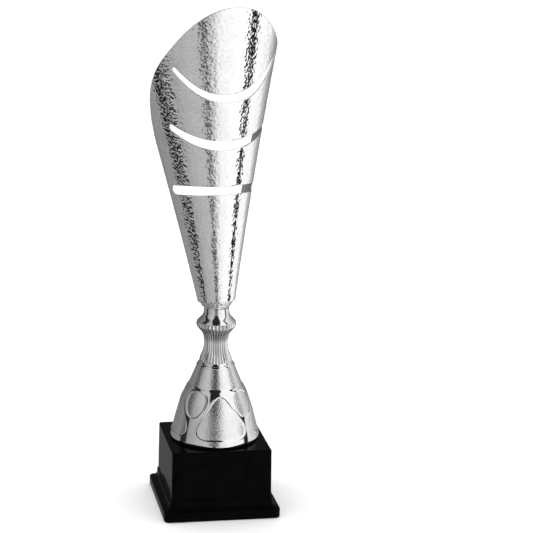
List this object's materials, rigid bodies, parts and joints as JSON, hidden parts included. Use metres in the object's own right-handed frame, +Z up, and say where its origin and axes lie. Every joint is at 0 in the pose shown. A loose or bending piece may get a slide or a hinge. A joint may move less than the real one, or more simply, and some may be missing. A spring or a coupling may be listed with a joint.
{
  "type": "cup trophy",
  "caption": "Cup trophy: open-backed hammered silver sheet cone with curved slots and a sloping rim, on a fluted bell-shaped riser and a black plinth.",
  "frame": {"origin": "centre of the felt's underside, on the axis of the tie rod, where the trophy stands", "axes": "+Z up along the tie rod, -Y towards the front of the cup, +X to the right seen from the front"},
  "size_m": [0.0977, 0.1047, 0.3822],
  "materials": {
    "felt": "black self-adhesive felt",
    "cover_plastic": "matt black moulding",
    "plinth_plastic": "polished black moulding",
    "cement": "rough cast",
    "zinc_steel": "zinc plated",
    "plated_satin": "silver plating, satin panels between polished borders",
    "plated_bright": "bright silver plating",
    "hammered_sheet": "hammered, bright silver plated sheet",
    "insert_plastic": "natural moulding"
  },
  "bodies": {
    "root": {"felt_pad": "felt", "bottom_cover": "cover_plastic", "plinth_shell": "plinth_plastic", "ballast_block": "cement", "lower_nut": "zinc_steel", "lower_lock_washer": "zinc_steel", "lower_washer": "zinc_steel", "tie_rod": "zinc_steel", "bell_riser": "plated_satin", "fluted_stem": "plated_bright", "neck_collar": "plated_bright", "cup_socket": "hammered_sheet", "cone_sheet": "hammered_sheet", "cup_insert": "insert_plastic", "upper_washer": "zinc_steel", "upper_lock_washer": "zinc_steel", "cap_nut": "zinc_steel"}
  },
  "joints": []
}
